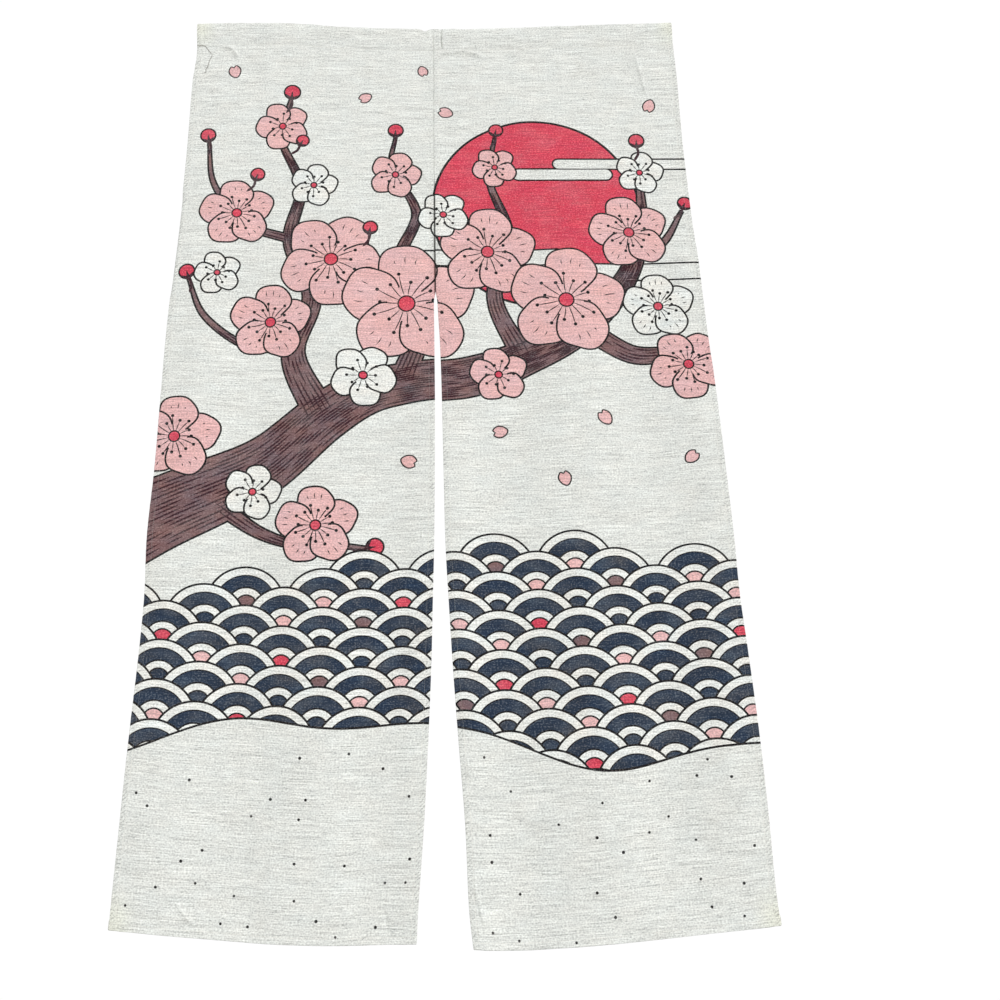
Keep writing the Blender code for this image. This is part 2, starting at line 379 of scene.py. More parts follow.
def makeRoom():  # bright white to the camera, and a softer light on the cloth
    world = bpy.data.worlds.new("whiteRoom")
    world.use_nodes = True
    bpy.context.scene.world = world
    nodes, links = world.node_tree.nodes, world.node_tree.links
    sky = nodes["Background"]
    sky.inputs["Color"].default_value = (1.0, 1.0, 1.0, 1.0)
    rays = nodes.new("ShaderNodeLightPath")
    strength = nodes.new("ShaderNodeMapRange")
    strength.inputs["To Min"].default_value = studio["ambient"]
    strength.inputs["To Max"].default_value = studio["backdrop"]
    links.new(rays.outputs["Is Camera Ray"], strength.inputs["Value"])
    links.new(strength.outputs["Result"], sky.inputs["Strength"])


def makeFloor():  # a pale disc, as white to the camera as the room
    turns = np.linspace(0.0, 2.0 * math.pi, 96, endpoint=False)
    rim = [(math.cos(a) * studio["floorRadius"], math.sin(a) * studio["floorRadius"]) for a in turns]
    mesh = bpy.data.meshes.new("floor")
    mesh.from_pydata([(x, y, studio["floorHeight"]) for x, y in rim], [], [tuple(range(len(rim)))])
    floor = addObject("floor", mesh)
    paper = bpy.data.materials.new("paleFloor")
    paper.use_nodes = True
    nodes, links = paper.node_tree.nodes, paper.node_tree.links
    shader = nodes["Principled BSDF"]
    shader.inputs["Base Color"].default_value = (*studio["floorColour"], 1.0)
    shader.inputs["Roughness"].default_value = 0.9
    white, mix, rays = (nodes.new("ShaderNode" + kind) for kind in ("Emission", "MixShader", "LightPath"))
    white.inputs["Strength"].default_value = studio["backdrop"]
    links.new(rays.outputs["Is Camera Ray"], mix.inputs[0])
    links.new(shader.outputs[0], mix.inputs[1])
    links.new(white.outputs[0], mix.inputs[2])
    links.new(mix.outputs[0], nodes["Material Output"].inputs["Surface"])
    mesh.materials.append(paper)


bpy.context.scene.view_settings.view_transform = "Standard"
makeCamera()
makeLights()
makeRoom()
makeFloor()
print("stage and camera made")


# Shader maths, written as expressions on sockets.

class Wire:
    def __init__(self, tree, socket):
        self.tree, self.socket = tree, socket

    def maths(self, operation, *values):
        node = addNode(self.tree, "ShaderNodeMath", {"operation": operation}, values)
        return Wire(self.tree, node.outputs[0])

    def __add__(self, other):
        return self.maths("ADD", self, other)

    def __radd__(self, other):
        return self.maths("ADD", other, self)

    def __sub__(self, other):
        return self.maths("SUBTRACT", self, other)

    def __rsub__(self, other):
        return self.maths("SUBTRACT", other, self)

    def __mul__(self, other):
        return self.maths("MULTIPLY", self, other)

    def __rmul__(self, other):
        return self.maths("MULTIPLY", other, self)

    def ramp(self, low, high):  # 0 below low, 1 above high, smooth between
        node = addNode(
            self.tree, "ShaderNodeMapRange", {"interpolation_type": "SMOOTHSTEP"},
            {"Value": self, "From Min": low, "From Max": high},
        )
        return Wire(self.tree, node.outputs["Result"])

    def sine(self):
        return self.maths("SINE", self)

    def size(self):
        return self.maths("ABSOLUTE", self)


def addNode(tree, kind, settings, inputs):  # settings come first, then values or links by name or order
    node = tree.nodes.new(kind)
    for name, value in settings.items():
        setattr(node, name, value)
    pairs = inputs.items() if isinstance(inputs, dict) else enumerate(inputs)
    for name, value in pairs:
        socket = node.inputs[name]
        if isinstance(value, Wire):
            value = value.socket
        if isinstance(value, bpy.types.NodeSocket):
            tree.links.new(value, socket)
        else:
            socket.default_value = value
    return node


def newMaterial(name, roughness, sheen):
    material = bpy.data.materials.new(name)
    material.use_nodes = True
    shader = material.node_tree.nodes["Principled BSDF"]
    shader.inputs["Roughness"].default_value = roughness
    shader.inputs["Specular IOR Level"].default_value = 0.25
    shader.inputs["Sheen Weight"].default_value = sheen
    shader.inputs["Sheen Roughness"].default_value = 0.6
    return material, material.node_tree, shader


def tone(red, green, blue):  # an 8-bit screen colour as linear light
    return tuple(c / 12.92 if c <= 0.04045 else ((c + 0.055) / 1.055) ** 2.4
                 for c in (red / 255.0, green / 255.0, blue / 255.0))


# The cloth's finish: a slubbed plain weave, off-white with grey flecks, and what is printed on it.

weave = {
    "pitch": 0.66,            # mm from thread to thread
    "slubs": 0.77,            # how much the weft threads differ in tone along their length
    "warpTone": 0.18,
    "grain": 0.56,
    "bare": (231, 233, 228),
    "fleck": (148, 151, 152),
    "flecks": 0.52,           # how dark the scattered grey bits of thread are
    "thinInk": 0.080,         # how much bare cloth shows through the print's thin places
    "worn": 0.045,            # and how much more of it in the print's paler patches
    "patches": 0.05,          # how much warmer or cooler it is from place to place
    "inkPatches": 8.0,        # and how much more so its darker inks are
    "cornerCream": 0.040,     # how much creamier the curtain's corners are, where the hems lie thick
    "backInk": 0.42,          # how much of the print shows through to the back
    "puckers": 0.30,          # mm, how deep the slanting puckers are that the stitches draw in a hem
    "puckerShade": 0.21,       # painted shade: how much darker their troughs are drawn
    "seamSpares": 0.55,       # and how much of that is missing along the seam
    "puckerPitch": 6.4,
    "seamShade": 0.30,         # painted shade: how much darker the hems are drawn where they press together at the seam's foot, for the shade in the crevice between them
    "slitShade": 0.62,         # and how much more so below it, down to where they part
}


def hemPuckers(x, y, noise):  # how much of a slanting pucker there is at a place of the side hems
    half = cloth["panelWidth"] / 2.0
    fromEdge = half - (x.size() - half).size()                 # mm in from the nearest side hem's edge
    slant = y - x * 0.80 + noise(x * 0.05, y * 0.045) * 11.0
    puckers = (slant * (2.0 * math.pi / weave["puckerPitch"])).sine().ramp(0.15, 0.95)
    return puckers * (1.0 - fromEdge.ramp(6.0, 9.5)) * (0.75 + noise(y * 0.05, y * 0.03 + 5.0) * 1.7)


def paintedSeamShade(x, drop):  # painted shade: how much darker the pressed edges at the seam's foot and the slit's top are drawn, for the shade in the narrow gap between the hems
    paintedShade = drop.ramp(308.0, 322.0) * weave["seamShade"] + drop.ramp(338.0, 348.0) * weave["slitShade"]
    paintedShade = paintedShade * (1.0 - drop.ramp(cloth["slitParts"], cloth["slitParts"] + 14.0))
    return paintedShade * (1.0 - x.size().ramp(0.9, 1.9))


def cornerShare(x, y):  # 1 at the curtain's corners and 0 away from them
    fromOutside = cloth["panelWidth"] - x.size()
    fromEnd = cloth["drop"] / 2.0 - (y - cloth["drop"] / 2.0).size()
    return (1.0 - fromOutside.ramp(5.0, 42.0)) * (1.0 - fromEnd.ramp(10.0, 64.0))


def weaveMaterial(name, showThrough):
    material, tree, shader = newMaterial(name, 0.92, 0.08)
    flat = addNode(tree, "ShaderNodeUVMap", {"uv_map": "cloth"}, {}).outputs["UV"]
    axes = addNode(tree, "ShaderNodeSeparateXYZ", {}, {0: flat}).outputs
    x, y = Wire(tree, axes["X"]) * 1000.0, Wire(tree, axes["Y"]) * 1000.0

    def noise(across, up, detail=1.0):
        place = addNode(tree, "ShaderNodeCombineXYZ", {}, {"X": across, "Y": up}).outputs["Vector"]
        node = addNode(tree, "ShaderNodeTexNoise", {"noise_dimensions": "2D"},
                       {"Vector": place, "Scale": 1.0, "Detail": detail, "Roughness": 0.55})
        return Wire(tree, node.outputs["Fac"]) - 0.5

    sway = noise(x * 0.006 + 3.3, y * 0.011, 2.0)              # the threads don't run quite straight
    weftAt = (y + sway * 7.0) * (1.0 / weave["pitch"])
    warpAt = (x + noise(x * 0.012, y * 0.005 + 7.7, 1.0) * 6.0) * (1.0 / weave["pitch"])
    weft, warp = weftAt.maths("FLOOR", weftAt), warpAt.maths("FLOOR", warpAt)
    longSlubs = noise(x * 0.012 + weft * 0.21, weft * 1.37)    # each thread has a tone of its own
    shortSlubs = noise(x * 0.052 + weft * 0.47, weft * 1.61 + 50.0)
    widerSlubs = noise(x * 0.014 + 4.0, (y + sway * 7.0) * 0.98 + 20.0, 0.0)
    middleSlubs = noise(x * 0.048 + 9.0, (y + sway * 7.0) * 1.04 + 70.0, 0.0)
    warpSlubs = noise(warp * 1.43, y * 0.050 + warp * 0.33)
    grain = noise(x * 0.38, y * 0.48, 0.0)
    fleckRow = (weftAt * 0.5).maths("FLOOR", weftAt * 0.5)
    flecks = noise(x * 0.110 + fleckRow * 0.77, fleckRow * 1.53 + 90.0, 2.0).ramp(0.14, 0.30)

    ink = addNode(tree, "ShaderNodeAttribute", {"attribute_name": "ink"}, {})
    printed = Wire(tree, ink.outputs["Alpha"])
    red = Wire(tree, addNode(tree, "ShaderNodeSeparateXYZ", {}, {0: ink.outputs["Color"]}).outputs["X"])
    slubs = longSlubs * 0.55 + shortSlubs * 0.45
    bands = widerSlubs * 0.55 + middleSlubs * 0.45
    tones = (slubs + bands) * weave["slubs"] + warpSlubs * weave["warpTone"] + grain * weave["grain"]
    light = 1.0 + tones
    thin = (slubs * 0.8 + warpSlubs * 0.4 + grain * 0.8).ramp(0.0, 0.30) * weave["thinInk"]
    pale = noise(x * 0.019 + 60.0, y * 0.027 + 9.0, 2.0).ramp(-0.12, 0.20) * red.ramp(0.008, 0.020)
    thin = thin + pale * weave["worn"]                         # black lines stay black

    weftSine, warpSine = (weftAt * math.pi).sine(), (warpAt * math.pi).sine()
    ribs = weftSine.size() * 0.6 + warpSine.size() * 0.4       # each thread's round profile: its relief, and a painted highlight along its middle
    over = (weftSine * warpSine).ramp(-0.3, 0.3)
    # painted highlight along each thread's middle
    light = light * (0.90 + ribs * 0.16)

    drop = cloth["drop"] - y
    puckers = hemPuckers(x, y, noise)
    inSeam = (1.0 - drop.ramp(318.0, 340.0)) * (1.0 - x.size().ramp(9.0, 12.0))
    # painted shade in the hem puckers' troughs, less of it along the seam
    light = light - puckers * weave["puckerShade"] * (1.0 - inSeam * weave["seamSpares"])
    # painted shade where the hems lie together at the seam's foot and the slit's top
    light = light * (1.0 - paintedSeamShade(x, drop))

    bare = (*tone(*weave["bare"]), 1.0)
    cover = (1.0 - thin) * showThrough
    colour = addNode(tree, "ShaderNodeMix", {"data_type": "RGBA"},
                     {0: cover, 6: bare, 7: ink.outputs["Color"]})
    grey = addNode(tree, "ShaderNodeMix", {"data_type": "RGBA"},
                   {0: flecks * (1.0 - printed * 0.6) * weave["flecks"], 6: colour.outputs[2],
                    7: (*tone(*weave["fleck"]), 1.0)}).outputs[2]
    dark = printed * (1.0 - red) * weave["inkPatches"]
    warmth = noise(x * 0.021 + 30.0, y * 0.034, 2.0) * (0.6 + dark) * weave["patches"]
    cream = cornerShare(x, y) * weave["cornerCream"]
    channels = (light * (1.0 + warmth + cream * 0.5), light * (1.0 - warmth * 0.3 + cream * 0.4),
                light * (1.0 - warmth * 1.2 - cream * 1.4))
    brighter = addNode(tree, "ShaderNodeCombineXYZ", {}, channels).outputs[0]
    lit = addNode(tree, "ShaderNodeVectorMath", {"operation": "MULTIPLY"}, {0: grey, 1: brighter})
    tree.links.new(lit.outputs["Vector"], shader.inputs["Base Color"])
    height = ribs * 0.10 + over * 0.04 + longSlubs * 0.14 + shortSlubs * 0.10 + grain * 0.05
    height = height - puckers * weave["puckers"]
    relief = addNode(tree, "ShaderNodeBump", {}, {"Height": height, "Distance": mm, "Strength": 0.6})
    tree.links.new(relief.outputs["Normal"], shader.inputs["Normal"])
    return material


printedFace = weaveMaterial("printedWeave", 1.0)
reverseFace = weaveMaterial("weaveReverse", weave["backInk"])


# The print: plain shapes in the flat cloth's own millimetres, painted one over another.

inks = {
    "bare": weave["bare"],
    "crimson": (218, 67, 90),
    "pink": (233, 186, 185),
    "brown": (124, 94, 96),
    "navy": (37, 52, 73),
    "white": (238, 239, 234),
    "black": (17, 13, 16),
    "bark": (56, 22, 34),
}
inkNames = list(inks)
inkColours = np.array([(*tone(*inks[name]), 0.0 if name == "bare" else 1.0) for name in inkNames])
printShapes = []


def paint(ink, *loops):
    printShapes.append((inkNames.index(ink), [np.asarray(loop, float) for loop in loops]))


def flow(points, closed=False, step=5.0):  # a smooth curve through points, and their widths if given
    points = np.asarray(points, float)
    before = points[-1:] if closed else 2 * points[:1] - points[1:2]
    after = points[:2] if closed else 2 * points[-1:] - points[-2:-1]
    run = np.vstack([before, points, after])
    found = []
    for a, b, c, d in zip(run, run[1:], run[2:], run[3:]):
        steps = max(1, math.ceil(np.hypot(*(c - b)[:2]) / step))
        for t in np.arange(steps) / steps:
            found.append(0.5 * (2 * b + (c - a) * t + (2 * a - 5 * b + 4 * c - d) * t ** 2
                                + (3 * b - a - 3 * c + d) * t ** 3))
    return np.array(found if closed else found + [points[-1]])


def circle(x, y, radius, step=4.5):
    count = max(9, round(2.0 * math.pi * radius / step))
    turns = np.linspace(0.0, 2.0 * math.pi, count, endpoint=False)
    return np.stack([x + radius * np.cos(turns), y + radius * np.sin(turns)], 1)


def sideOf(line, closed):  # unit vectors to a line's left
    ahead = np.roll(line, -1, 0) - np.roll(line, 1, 0) if closed else np.gradient(line, axis=0)
    ahead = ahead / np.maximum(np.linalg.norm(ahead, axis=1), 1e-9)[:, None]
    return np.stack([-ahead[:, 1], ahead[:, 0]], 1)


def grown(loop, by):  # an anticlockwise loop, moved outwards
    return loop - sideOf(loop, True) * by


def ribbon(line, widths):  # a band along a line, as wide as said at each point
    aside = sideOf(line[:, :2], False) * np.asarray(widths)[:, None] / 2.0
    return np.vstack([line[:, :2] - aside, (line[:, :2] + aside)[::-1]])


def penLine(points, width, ink="black", step=5.0, taper=0.25):  # a brush line with thin ends
    line = flow(points, step=step)
    part = np.linspace(0.0, 1.0, len(line))
    swell = np.minimum(1.0, np.minimum(part, 1.0 - part) / taper) ** 0.7
    paint(ink, ribbon(line, np.maximum(width * swell, 0.25)))


def outlined(ink, loops, pen=3.0):  # one flat colour with a black contour round all its loops
    for loop in loops:
        paint("black", grown(loop, pen / 2.0))
    for loop in loops:
        paint(ink, grown(loop, -pen / 2.0))


def bar(left, right, middle, height):  # a long mist band with round ends
    radius = height / 2.0
    turns = np.linspace(-math.pi / 2, math.pi / 2, 9)
    east = np.stack([right - radius + radius * np.cos(turns), middle + radius * np.sin(turns)], 1)
    west = np.stack([left + radius - radius * np.cos(turns), middle - radius * np.sin(turns)], 1)
    return np.vstack([east, west])


sun = {"x": 168.0, "y": 1128.0, "radius": 172.0, "pen": 4.0}


def paintSun():
    outlined("crimson", [circle(sun["x"], sun["y"], sun["radius"], 5.0)], sun["pen"])


mist = {  # each band's left and right end, the height of its middle, and how wide it is
    "lower": [(70, 470, 1012, 30), (-30, 210, 1040, 28)],
    "upper": [(130, 300, 1196, 22), (200, 480, 1216, 20)],
}


def paintMist():
    for bands in mist.values():
        outlined("bare", [bar(*band) for band in bands])


plumTree = {
    "trunk": [(-480, 560, 128), (-425, 590, 120), (-330, 640, 104), (-250, 690, 92), (-170, 762, 80),
              (-105, 806, 72), (-40, 822, 68), (40, 832, 66), (125, 862, 60), (215, 905, 50),
              (295, 985, 36), (338, 1082, 22), (345, 1190, 9)],
    "branches": [
        [(-175, 765, 50), (-222, 868, 38), (-196, 968, 30), (-238, 1072, 22), (-226, 1172, 15),
         (-264, 1268, 9), (-250, 1345, 4)],
        [(-50, 828, 40), (-22, 925, 28), (-58, 1028, 20), (-30, 1122, 14), (-72, 1206, 8), (-66, 1272, 4)],
        [(130, 866, 34), (92, 972, 24), (120, 1082, 16), (92, 1186, 9), (104, 1270, 4)],
        [(225, 915, 36), (300, 868, 30), (370, 862, 24), (430, 826, 19), (480, 818, 15)],
        [(-330, 620, 26), (-262, 576, 18), (-196, 556, 12), (-136, 556, 8), (-98, 554, 4)],
        [(-188, 968, 15), (-128, 1010, 11), (-108, 1084, 4)],
        [(-232, 1072, 15), (-312, 1102, 12), (-372, 1176, 8), (-388, 1262, 4)],
        [(318, 1040, 15), (372, 1066, 11), (410, 1126, 5)],
        [(-212, 888, 17), (-292, 882, 12), (-364, 930, 9), (-398, 1000, 4)],
    ],
    "hatchGap": 7.2,
    "hatchWidth": 2.9,
    "hatchFrom": 9.0,         # wood thinner than this has none
}


def paintTree():
    limbs = [flow(points, step=8.0) for points in [plumTree["trunk"], *plumTree["branches"]]]
    for line in limbs:
        paint("black", ribbon(line, line[:, 2] + 4.0))
    for line in limbs:
        paint("brown", ribbon(line, line[:, 2] - 2.0))
    draw = np.random.default_rng(11)
    for line in limbs:  # the bark's hatching runs along the wood, in broken strokes
        wide = line[:, 2].max()
        rows = int(wide / plumTree["hatchGap"])
        left = sideOf(line[:, :2], False)
        for row in range(rows):
            offset = (row + 0.5) / rows - 0.5
            start = draw.uniform(0.0, 2.0)
            while start < len(line) - 3:
                length = int(draw.uniform(5, 12))
                first, last = int(start), min(int(start) + length, len(line) - 1)
                part = line[first:last + 1]
                path = part[:, :2] + left[first:last + 1] * (part[:, 2:] * 0.90 * offset)
                if last - first > 2 and part[:, 2].min() > plumTree["hatchFrom"]:
                    penLine(path[::2], plumTree["hatchWidth"], "bark", 14.0, 0.3)
                start += length + draw.uniform(0.6, 1.6)


blossoms = table(  # petal is 0 for pink and 1 for white
    "x y radius turned petal",
    (-262, 1290, 46, 40, 0), (-204, 1176, 40, 5, 1), (-330, 1122, 62, 25, 0), (-168, 1036, 84, 60, 0),
    (-262, 926, 66, 15, 0), (-352, 1010, 38, 35, 1), (-66, 1196, 44, 0, 0), (-44, 958, 104, 20, 0),
    (84, 1052, 78, 12, 0), (14, 1120, 42, 50, 1), (102, 1210, 38, 48, 0), (206, 962, 92, 8, 0),
    (318, 1086, 66, 28, 0), (346, 1200, 40, 5, 1), (352, 950, 56, 18, 1), (388, 846, 60, 52, 0),
    (-176, 588, 62, 22, 0), (-276, 640, 44, 3, 1), (-398, 724, 68, 14, 0), (-112, 834, 52, 61, 1),
    (90, 838, 46, 26, 0),
)

buds = table(
    "x y radius turned",
    (-390, 1272, 13, 100), (-248, 1358, 14, 85), (-66, 1284, 13, 85), (-106, 1096, 12, 80),
    (106, 1284, 12, 80), (346, 1262, 13, 88), (416, 1140, 12, 60), (-88, 556, 13, 10),
    (-402, 1012, 13, 110), (-300, 1196, 12, 70), (-226, 1262, 11, 60),
)


blossom = {
    "petalOut": 0.56,         # shares of a blossom's radius: where its petals' middles lie
    "petalSize": 0.45,
    "heart": 0.13,
    "core": 0.30,             # a plain disc over the petals' inner ends
    "petalPen": 2.9,
    "bigFrom": 55,            # the radius from which one has nicks in its petals and more stamens
}


def paintBlossom(x, y, radius, turned, petal):
    ink = ("pink", "white")[int(petal)]
    draw = np.random.default_rng(int(turned + radius))

    def ray(degrees, *shares):  # points out along a ray: how far out, and turned aside by how much
        angle = math.radians(turned + degrees)
        return [(x + radius * out * math.cos(angle + aside), y + radius * out * math.sin(angle + aside))
                for out, aside in shares]

    for k in range(5):
        turns = np.linspace(0.0, 2.0 * math.pi, max(14, round(radius * 0.62)), endpoint=False)
        wavy = 0.018 * np.sin(3.0 * turns + k) + 0.012 * np.sin(5.0 * turns + 2.0 * k)
        edge = radius * (blossom["petalSize"] + wavy)
        centreX, centreY = ray(72 * k, (blossom["petalOut"] + draw.uniform(-0.02, 0.02), 0.0))[0]
        petalLoop = np.stack([centreX + edge * np.cos(turns), centreY + edge * np.sin(turns)], 1)
        outlined(ink, [petalLoop], blossom["petalPen"])
        if radius > blossom["bigFrom"]:
            for swing in (-13, 0, 13):
                start, end = draw.uniform(0.66, 0.7), draw.uniform(0.8, 0.88) - abs(swing) * 0.004
                nick = ray(72 * k + swing, (start, 0.0), ((start + end) / 2, 0.01), (end, 0.0))
                penLine(nick, 1.8, step=9.0)
    paint(ink, circle(x, y, radius * blossom["core"], 4.0))
    count = 10 if radius < blossom["bigFrom"] else 15
    for k in range(count):
        degrees, far = 360.0 / count * k + 12.0, draw.uniform(0.36, 0.42) + (k % 2) * 0.12
        penLine(ray(degrees, (0.12, 0.0), (far * 0.6, 0.03), (far, 0.0)), 1.7, step=12.0, taper=0.2)
        tipX, tipY = ray(degrees, (far, 0.0))[0]
        paint("black", circle(tipX, tipY, 1.9 + radius * 0.012, 2.2))
    outlined("crimson", [circle(x, y, radius * blossom["heart"], 3.2)], 2.4)


def paintBud(x, y, radius, turned):
    angle = math.radians(turned)
    base = np.array([x - radius * math.cos(angle), y - radius * math.sin(angle)])
    outlined("crimson", [circle(x, y, radius, 4.0)], 2.8)
    for swing in (-52, 0, 52):
        bend = angle + math.radians(swing)
        tip = base + radius * 1.1 * np.array([math.cos(bend), math.sin(bend)])
        line = flow([base, tip], step=6.0)
        paint("bark", ribbon(line, np.linspace(7.0, 1.0, len(line))))
    stalk = [base + (2.0 * math.cos(angle), 2.0 * math.sin(angle)),
             base - (0.9 * radius * math.cos(angle + 0.2), 0.9 * radius * math.sin(angle + 0.2)),
             base - (2.1 * radius * math.cos(angle - 0.2), 2.1 * radius * math.sin(angle - 0.2))]
    penLine(stalk, 4.6, "bark", taper=0.1)


waves = {
    "radius": 58.0,
    "bankTop": 500.0,
    "bankBottom": 268.0,
    "lowest": 150.0,
    "navyBand": 0.77,         # shares of a wave's radius: its navy band, its inner white and its core
    "innerWhite": 0.47,
    "core": 0.27,
    "coreInks": ("crimson", "pink", "navy", "brown", "navy", "pink", "navy"),
}


def bankTop(x):
    return waves["bankTop"] + 38.0 * math.sin(x / 150.0 + 0.9) + 8.0 * math.sin(x / 47.0)


def bankBottom(x):
    return waves["bankBottom"] + 34.0 * math.sin(x / 140.0 + 2.6) + 12.0 * math.sin(x / 52.0 + 1.0)


def paintWaves():
    radius = waves["radius"]
    coreInks = waves["coreInks"]
    rows = int((waves["bankTop"] + 90.0 - waves["lowest"]) / (radius / 2.0))
    for row in range(rows):
        y = waves["bankTop"] + 50.0 - row * radius / 2.0
        for column in range(-5, 6):
            x = column * 2.0 * radius + (radius if row % 2 else 0.0) + 14.0
            if y > bankTop(x):
                continue
            outlined("white", [circle(x, y, radius, 5.0)], 3.0)
            paint("black", circle(x, y, radius * (waves["navyBand"] + 0.03), 5.0))
            paint("navy", circle(x, y, radius * waves["navyBand"], 5.0))
            outlined("white", [circle(x, y, radius * waves["innerWhite"], 5.0)], 2.4)
            coreInk = coreInks[(row * 3 + column * 2) % len(coreInks)]
            outlined(coreInk, [circle(x, y, radius * waves["core"], 4.5)], 2.4)


def paintSand():
    line = flow([(x, bankBottom(x)) for x in range(-480, 481, 40)], step=6.0)
    floor = [(480.0, -60.0), (-480.0, -60.0)]
    paint("black", np.vstack([line, floor]))
    paint("bare", np.vstack([line - (0.0, 3.2), floor]))


dots = {
    "left": -410.0,
    "gap": 62.0,
    "lowest": 22.0,
    "rowGap": 44.0,
    "leftOut": 0.30,          # the share of them that is missing
    "fromEdge": 11.0,
    "fromSeam": 14.0,
}


def paintDots():
    draw = np.random.default_rng(7)
    for row in range(6):
        for column in range(14):
            shift = dots["gap"] / 2 if row % 2 else 0
            x = dots["left"] + column * dots["gap"] + draw.uniform(-22, 22) + shift
            y = dots["lowest"] + row * dots["rowGap"] + draw.uniform(-16, 16)
            keep = draw.uniform(0.0, 1.0)
            radius = draw.uniform(1.8, 2.3)
            inside = dots["fromSeam"] < abs(x) < cloth["panelWidth"] - dots["fromEdge"]
            if inside and keep > dots["leftOut"] and y < bankBottom(x) - 16.0:
                paint("black", circle(x, y, radius, 1.4))


petals = table(
    "x y size turned",
    (-352, 1398, 13, 20), (-120, 1352, 12, 120), (20, 1322, 13, 70), (-20, 1410, 11, 200),
    (372, 1330, 13, 160), (250, 760, 13, 35), (88, 742, 12, 100), (-40, 690, 13, 250),
    (376, 690, 12, 310), (182, 662, 12, 15), (-300, 196, 13, 40),
    (-96, 150, 12, 130), (70, 196, 12, 300), (252, 128, 13, 80), (362, 220, 12, 220), (-380, 84, 12, 10),
)


def paintPetals():
    for x, y, size, turned in rowsOf(petals):
        angle = math.radians(turned)
        spin = np.array([[math.cos(angle), math.sin(angle)], [-math.sin(angle), math.cos(angle)]])
        shape = np.array([(0, -1), (0.62, -0.5), (0.78, 0.3), (0.34, 0.92), (0, 0.66), (-0.34, 0.92),
                          (-0.78, 0.3), (-0.62, -0.5)]) * size
        outlined("pink", [flow(shape @ spin + (x, y), closed=True, step=3.5)], 2.2)


def paintPrint():
    paintSun()
    paintMist()
    paintTree()
    for row in rowsOf(blossoms):
        paintBlossom(*row)
    for row in rowsOf(buds):
        paintBud(*row)
    paintPetals()
    paintWaves()
    paintSand()
    paintDots()
    print("print laid out in", len(printShapes), "shapes")


def insideLoops(points, loops):  # even and odd crossings of a ray to the right
    inside = np.zeros(len(points), bool)
    for loop in loops:
        ax, ay = loop.T
        bx, by = np.roll(loop, -1, 0).T
        slope = (bx - ax) / np.where(by == ay, 1e-12, by - ay)
        for part in np.array_split(np.arange(len(points)), max(1, len(points) * len(loop) // 4000000)):
            x, y = points[part, 0:1], points[part, 1:2]
            crossed = ((ay > y) != (by > y)) & (x < ax + (y - ay) * slope)
            inside[part] ^= crossed.sum(1) % 2 == 1
    return inside


def inkAt(points):  # the ink on top at each point of the flat cloth
    top = np.zeros(len(points), int)
    for ink, loops in printShapes:
        low = np.min([loop.min(0) for loop in loops], 0)
        high = np.max([loop.max(0) for loop in loops], 0)
        near = np.flatnonzero(((points > low) & (points < high)).all(1))
        if len(near):
            top[near[insideLoops(points[near], loops)]] = ink
    return top


def printEdges():  # only the stretches of outline where the ink changes
    starts = np.vstack([loop for _, loops in printShapes for loop in loops])
    ends = np.vstack([np.roll(loop, -1, 0) for _, loops in printShapes for loop in loops])
    ahead = ends - starts
    aside = np.stack([-ahead[:, 1], ahead[:, 0]], 1)
    aside *= 0.2 / np.maximum(np.linalg.norm(aside, axis=1), 1e-9)[:, None]
    changes = np.zeros(len(starts), bool)
    for part in (0.12, 0.5, 0.88):
        middle = starts + ahead * part
        changes |= inkAt(middle + aside) != inkAt(middle - aside)
    return starts[changes], ends[changes]


paintPrint()
edgeStarts, edgeEnds = printEdges()
print("print has", len(edgeStarts), "edges that show")


# A sheet: the flat cloth cut into triangles along the print, hung, and given its thickness.

def creaseSpots(chart, place):  # flat points across each crease, close enough together to carry it
    spots = []
    for startAcross, startDrop, endAcross, endDrop, bow, width, height in rowsOf(chart):
        start = np.array([startAcross, startDrop])
        run = np.array([endAcross, endDrop]) - start
        length = np.hypot(*run)
        aside = np.array([-run[1], run[0]]) / length
        for part in np.linspace(-0.1, 1.1, max(4, round(length / max(2.0, width * 0.8)))):
            middle = bow * 4.0 * min(max(part * (1.0 - part), 0.0), 0.25)
            for w in (-2, -1.2, -0.6, 0, 0.6, 1.2, 2):
                spots.append(start + run * part + aside * (middle + width * w))
    return place(*np.array(spots).T)


def cutFlat(columns, rows, creaseColumns, creaseRows, spots):
    low, high = np.array([columns[0], rows[0]]), np.array([columns[-1], rows[-1]])
    hemmed = np.array([12.5, 12.5 if len(creaseRows) else 0.6])  # the folds there have points enough
    spots = spots[((spots > low + hemmed) & (spots < high - 5.5)).all(1)]
    near = (np.maximum(edgeStarts, edgeEnds) > low) & (np.minimum(edgeStarts, edgeEnds) < high)
    starts, ends = edgeStarts[near.all(1)], edgeEnds[near.all(1)]
    grid = np.stack(np.meshgrid(columns, rows, indexing="ij"), -1)
    index = np.arange(grid[..., 0].size).reshape(grid.shape[:2])
    constrained = []
    for column in [0, len(columns) - 1, *creaseColumns]:
        constrained += zip(index[column, :-1], index[column, 1:])
    for row in [0, len(rows) - 1, *creaseRows]:
        constrained += zip(index[:-1, row], index[1:, row])
    ends, order = np.unique(np.vstack([starts, ends]).round(3), axis=0, return_inverse=True)
    order = order.reshape(-1) + index.size
    points = np.vstack([grid.reshape(-1, 2), ends, spots])
    edges = [tuple(int(i) for i in pair) for pair in constrained]
    edges += [(int(a), int(b)) for a, b in zip(order[:len(starts)], order[len(starts):]) if a != b]
    found = delaunay_2d_cdt([Vector(p) for p in points], edges, [], 0, 1e-4, False)
    flat, faces = np.array([tuple(p) for p in found[0]]), np.array(found[2])
    middles = flat[faces].mean(1)
    faces = faces[((middles > low) & (middles < high)).all(1)]
    used, faces = np.unique(faces, return_inverse=True)
    return flat[used], faces.reshape(-1, 3)


def evenSteps(first, last, step):
    return np.linspace(first, last, max(2, round(abs(last - first) / step) + 1))


